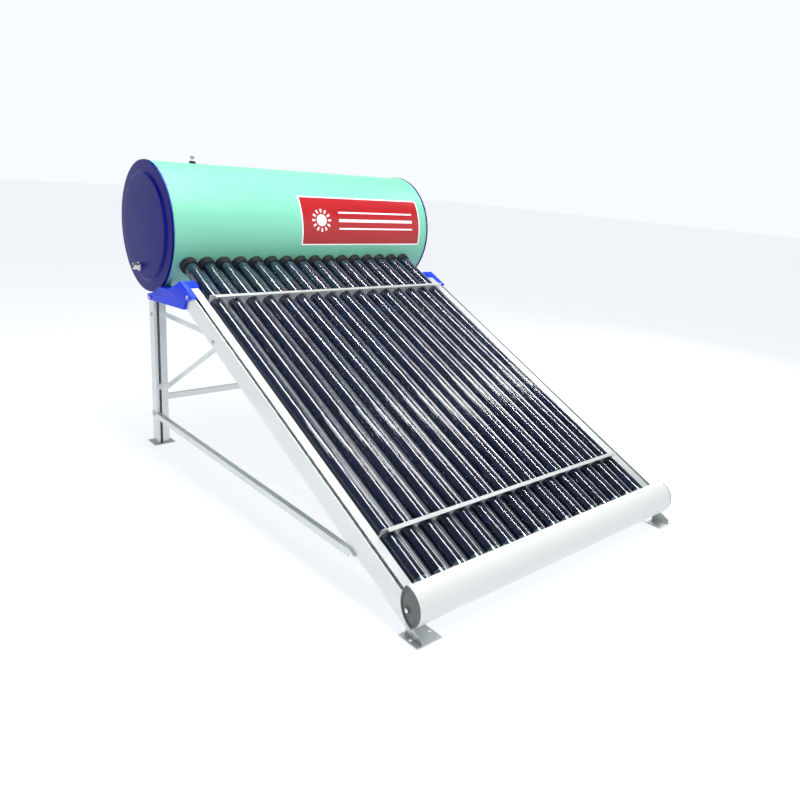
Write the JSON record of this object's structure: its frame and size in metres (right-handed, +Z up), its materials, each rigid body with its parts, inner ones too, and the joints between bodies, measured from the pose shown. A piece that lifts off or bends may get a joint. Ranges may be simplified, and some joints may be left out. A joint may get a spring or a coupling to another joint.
{
  "type": "solar water heater",
  "caption": "Solar water heater: a horizontal insulated tank on a low sloping aluminium stand, fed by a row of evacuated glass tubes that can each be lifted out of its cup.",
  "frame": {"origin": "centre of the whole object's box, at ground level", "axes": "+Z up, -Y towards the front and down the slope of the tubes, +X to the right when seen from the front"},
  "size_m": [1.415, 2.0734, 1.216],
  "materials": {
    "casing_paint": "satin powder coat over sheet steel",
    "cap_paint": "gloss navy powder coat",
    "saddle_blue": "bright blue moulded plastic, slightly glossy",
    "tank_steel": "plain stainless steel sheet",
    "foam": "rigid polyurethane foam",
    "black_rubber": "moulded black rubber",
    "seal_rubber": "silicone rubber",
    "label_film": "printed film with a plain red ground and a thin pale border",
    "tube_glass": "borosilicate glass over a dark selective coating",
    "frame_aluminium": "satin anodised aluminium",
    "foot_aluminium": "pressed plate with a satin coat",
    "end_plate_plastic": "dark grey moulded plastic",
    "zinc_fasteners": "zinc plated steel"
  },
  "bodies": {
    "heater": {"tank_casing": "casing_paint", "inner_tank": "tank_steel", "foam_insulation": "foam", "end_cap_left": "cap_paint", "end_cap_right": "cap_paint", "hot_outlet_nipple": "tank_steel", "cold_inlet_nipple": "tank_steel", "vent_pipe": "tank_steel", "vent_cap": "black_rubber", "front_label": "label_film", "port_seals": "seal_rubber", "dust_rings": "black_rubber", "tank_studs": "zinc_fasteners", "rear_crossbar": "frame_aluminium", "upper_tube_bar": "frame_aluminium", "lower_tube_bar": "frame_aluminium", "tailstock_base": "frame_aluminium", "tailstock_cover": "frame_aluminium", "tailstock_end_left": "end_plate_plastic", "tailstock_end_right": "end_plate_plastic", "cover_screws": "zinc_fasteners", "tube_cups": "black_rubber", "frame_bolts": "zinc_fasteners", "frame_nuts": "zinc_fasteners", "left_front_rail": "frame_aluminium", "left_rear_leg": "frame_aluminium", "left_tank_saddle": "saddle_blue", "left_upper_strut": "frame_aluminium", "left_diagonal_strut": "frame_aluminium", "left_lower_strut": "frame_aluminium", "front_left_foot": "foot_aluminium", "rear_left_foot": "foot_aluminium", "right_front_rail": "frame_aluminium", "right_rear_leg": "frame_aluminium", "right_tank_saddle": "saddle_blue", "right_upper_strut": "frame_aluminium", "right_diagonal_strut": "frame_aluminium", "right_lower_strut": "frame_aluminium", "front_right_foot": "foot_aluminium", "rear_right_foot": "foot_aluminium"},
    "tube_01": {"evacuated_tube_01": "tube_glass"},
    "tube_02": {"evacuated_tube_02": "tube_glass"},
    "tube_03": {"evacuated_tube_03": "tube_glass"},
    "tube_04": {"evacuated_tube_04": "tube_glass"},
    "tube_05": {"evacuated_tube_05": "tube_glass"},
    "tube_06": {"evacuated_tube_06": "tube_glass"},
    "tube_07": {"evacuated_tube_07": "tube_glass"},
    "tube_08": {"evacuated_tube_08": "tube_glass"},
    "tube_09": {"evacuated_tube_09": "tube_glass"},
    "tube_10": {"evacuated_tube_10": "tube_glass"},
    "tube_11": {"evacuated_tube_11": "tube_glass"},
    "tube_12": {"evacuated_tube_12": "tube_glass"},
    "tube_13": {"evacuated_tube_13": "tube_glass"},
    "tube_14": {"evacuated_tube_14": "tube_glass"},
    "tube_15": {"evacuated_tube_15": "tube_glass"},
    "tube_16": {"evacuated_tube_16": "tube_glass"}
  },
  "joints": [
    {"name": "tube_01_lift", "type": "slide", "parent": "heater", "child": "tube_01", "axis": [0, 0.9063, 0.4226], "range_m": [0, 0.04]},
    {"name": "tube_02_lift", "type": "slide", "parent": "heater", "child": "tube_02", "axis": [0, 0.9063, 0.4226], "range_m": [0, 0.04]},
    {"name": "tube_03_lift", "type": "slide", "parent": "heater", "child": "tube_03", "axis": [0, 0.9063, 0.4226], "range_m": [0, 0.04]},
    {"name": "tube_04_lift", "type": "slide", "parent": "heater", "child": "tube_04", "axis": [0, 0.9063, 0.4226], "range_m": [0, 0.04]},
    {"name": "tube_05_lift", "type": "slide", "parent": "heater", "child": "tube_05", "axis": [0, 0.9063, 0.4226], "range_m": [0, 0.04]},
    {"name": "tube_06_lift", "type": "slide", "parent": "heater", "child": "tube_06", "axis": [0, 0.9063, 0.4226], "range_m": [0, 0.04]},
    {"name": "tube_07_lift", "type": "slide", "parent": "heater", "child": "tube_07", "axis": [0, 0.9063, 0.4226], "range_m": [0, 0.04]},
    {"name": "tube_08_lift", "type": "slide", "parent": "heater", "child": "tube_08", "axis": [0, 0.9063, 0.4226], "range_m": [0, 0.04]},
    {"name": "tube_09_lift", "type": "slide", "parent": "heater", "child": "tube_09", "axis": [0, 0.9063, 0.4226], "range_m": [0, 0.04]},
    {"name": "tube_10_lift", "type": "slide", "parent": "heater", "child": "tube_10", "axis": [0, 0.9063, 0.4226], "range_m": [0, 0.04]},
    {"name": "tube_11_lift", "type": "slide", "parent": "heater", "child": "tube_11", "axis": [0, 0.9063, 0.4226], "range_m": [0, 0.04]},
    {"name": "tube_12_lift", "type": "slide", "parent": "heater", "child": "tube_12", "axis": [0, 0.9063, 0.4226], "range_m": [0, 0.04]},
    {"name": "tube_13_lift", "type": "slide", "parent": "heater", "child": "tube_13", "axis": [0, 0.9063, 0.4226], "range_m": [0, 0.04]},
    {"name": "tube_14_lift", "type": "slide", "parent": "heater", "child": "tube_14", "axis": [0, 0.9063, 0.4226], "range_m": [0, 0.04]},
    {"name": "tube_15_lift", "type": "slide", "parent": "heater", "child": "tube_15", "axis": [0, 0.9063, 0.4226], "range_m": [0, 0.04]},
    {"name": "tube_16_lift", "type": "slide", "parent": "heater", "child": "tube_16", "axis": [0, 0.9063, 0.4226], "range_m": [0, 0.04]}
  ]
}
